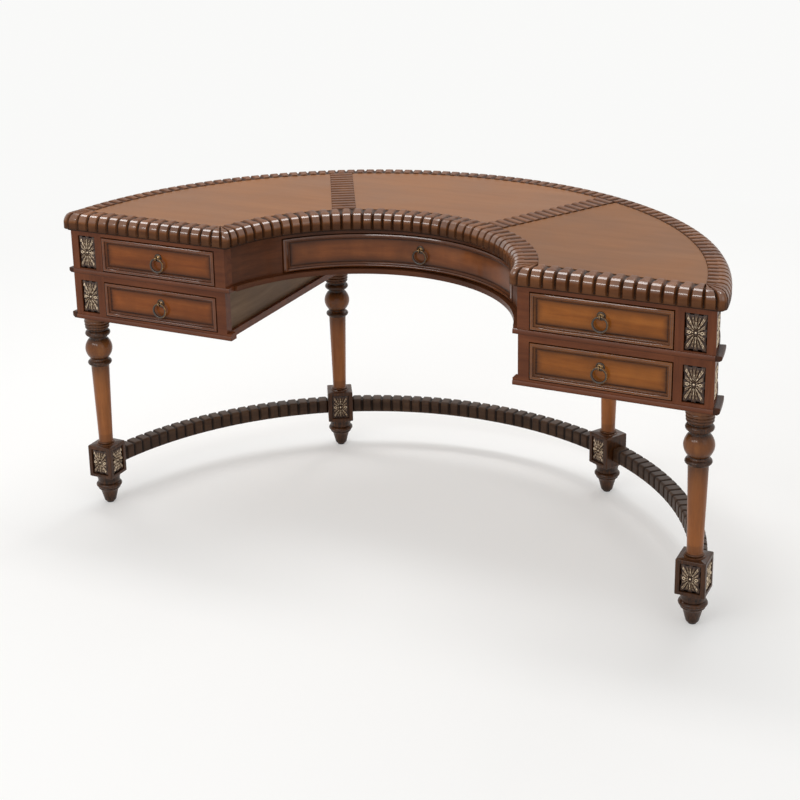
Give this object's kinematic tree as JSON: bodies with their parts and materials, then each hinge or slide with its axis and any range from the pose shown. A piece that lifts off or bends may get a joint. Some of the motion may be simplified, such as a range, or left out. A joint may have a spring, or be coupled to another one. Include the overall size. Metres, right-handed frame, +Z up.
{
  "type": "semicircular desk",
  "caption": "Semicircular writing desk with a ribbed rim, carved corner posts, ring-pull drawers, a curved centre drawer and turned legs tied by a curved stretcher.",
  "frame": {"origin": "on the floor, under the middle of the desk's outline", "axes": "+Z up, +X to the sitter's right, the sitter's side faces -Y and the outer curve faces +Y"},
  "size_m": [1.6146, 0.744, 0.762],
  "materials": {
    "ribbed_wood": "glossy brown lacquer, darker in the grooves",
    "top_field": "satin brown lacquer with faint distress marks",
    "case_wood": "satin reddish brown lacquer",
    "carcase_wood": "plain sanded wood",
    "shaded_panel": "dull dark brown stain",
    "leg_wood": "satin orange brown lacquer, dark on the block",
    "dark_wood": "satin dark brown lacquer",
    "drawer_wood": "satin orange brown lacquer, shaded at the edges",
    "antique_brass": "aged, nearly black in the hollows",
    "glide_plastic": "dull dark brown"
  },
  "bodies": {
    "case": {"rim_outer": "ribbed_wood", "rim_inner": "ribbed_wood", "rim_front_left": "ribbed_wood", "rim_front_right": "ribbed_wood", "band_left": "ribbed_wood", "band_right": "ribbed_wood", "field_left": "top_field", "field_centre": "top_field", "field_right": "top_field", "top_core": "carcase_wood", "mid_deck": "carcase_wood", "bottom_deck_left": "carcase_wood", "bottom_deck_right": "carcase_wood", "drawer_guides": "carcase_wood", "centre_drawer_guides": "carcase_wood", "post_front_left": "case_wood", "post_front_right": "case_wood", "post_back_left": "case_wood", "post_back_right": "case_wood", "face_frame_left": "case_wood", "face_frame_right": "case_wood", "apron_frame": "case_wood", "side_panel_left": "case_wood", "side_panel_right": "case_wood", "back_panel": "case_wood", "mid_moulding": "case_wood", "bottom_moulding_left": "case_wood", "bottom_moulding_right": "case_wood", "inner_moulding_left": "case_wood", "inner_moulding_right": "case_wood", "inner_panel_left": "shaded_panel", "inner_panel_right": "shaded_panel", "leg_front_left": "leg_wood", "leg_front_right": "leg_wood", "leg_back_left": "leg_wood", "leg_back_right": "leg_wood", "stretcher_left": "dark_wood", "stretcher_back": "dark_wood", "stretcher_right": "dark_wood", "foot_glides": "glide_plastic"},
    "drawer_upper_left": {"drawer_upper_left_front": "drawer_wood", "drawer_upper_left_box": "carcase_wood", "drawer_upper_left_pull": "antique_brass"},
    "ring_upper_left": {"drawer_upper_left_ring": "antique_brass"},
    "drawer_lower_left": {"drawer_lower_left_front": "drawer_wood", "drawer_lower_left_box": "carcase_wood", "drawer_lower_left_pull": "antique_brass"},
    "ring_lower_left": {"drawer_lower_left_ring": "antique_brass"},
    "drawer_upper_right": {"drawer_upper_right_front": "drawer_wood", "drawer_upper_right_box": "carcase_wood", "drawer_upper_right_pull": "antique_brass"},
    "ring_upper_right": {"drawer_upper_right_ring": "antique_brass"},
    "drawer_lower_right": {"drawer_lower_right_front": "drawer_wood", "drawer_lower_right_box": "carcase_wood", "drawer_lower_right_pull": "antique_brass"},
    "ring_lower_right": {"drawer_lower_right_ring": "antique_brass"},
    "drawer_centre": {"drawer_centre_front": "drawer_wood", "drawer_centre_box": "carcase_wood", "drawer_centre_pull": "antique_brass"},
    "ring_centre": {"drawer_centre_ring": "antique_brass"}
  },
  "joints": [
    {"name": "drawer_upper_left_slide", "type": "slide", "parent": "case", "child": "drawer_upper_left", "axis": [0, -1, 0], "range_m": [0, 0.17]},
    {"name": "ring_upper_left_swing", "type": "hinge", "parent": "drawer_upper_left", "child": "ring_upper_left", "pos_m": [-0.54417, -0.3655, 0.676], "axis": [-1, 0, 0], "range_deg": [0, 120]},
    {"name": "drawer_lower_left_slide", "type": "slide", "parent": "case", "child": "drawer_lower_left", "axis": [0, -1, 0], "range_m": [0, 0.17]},
    {"name": "ring_lower_left_swing", "type": "hinge", "parent": "drawer_lower_left", "child": "ring_lower_left", "pos_m": [-0.54417, -0.3655, 0.564], "axis": [-1, 0, 0], "range_deg": [0, 120]},
    {"name": "drawer_upper_right_slide", "type": "slide", "parent": "case", "child": "drawer_upper_right", "axis": [0, -1, 0], "range_m": [0, 0.17]},
    {"name": "ring_upper_right_swing", "type": "hinge", "parent": "drawer_upper_right", "child": "ring_upper_right", "pos_m": [0.54417, -0.3655, 0.676], "axis": [-1, 0, 0], "range_deg": [0, 120]},
    {"name": "drawer_lower_right_slide", "type": "slide", "parent": "case", "child": "drawer_lower_right", "axis": [0, -1, 0], "range_m": [0, 0.17]},
    {"name": "ring_lower_right_swing", "type": "hinge", "parent": "drawer_lower_right", "child": "ring_lower_right", "pos_m": [0.54417, -0.3655, 0.564], "axis": [-1, 0, 0], "range_deg": [0, 120]},
    {"name": "drawer_centre_slide", "type": "slide", "parent": "case", "child": "drawer_centre", "axis": [0, -1, 0], "range_m": [0, 0.3]},
    {"name": "ring_centre_swing", "type": "hinge", "parent": "drawer_centre", "child": "ring_centre", "pos_m": [0, -0.0737, 0.676], "axis": [-1, 0, 0], "range_deg": [0, 120]}
  ]
}
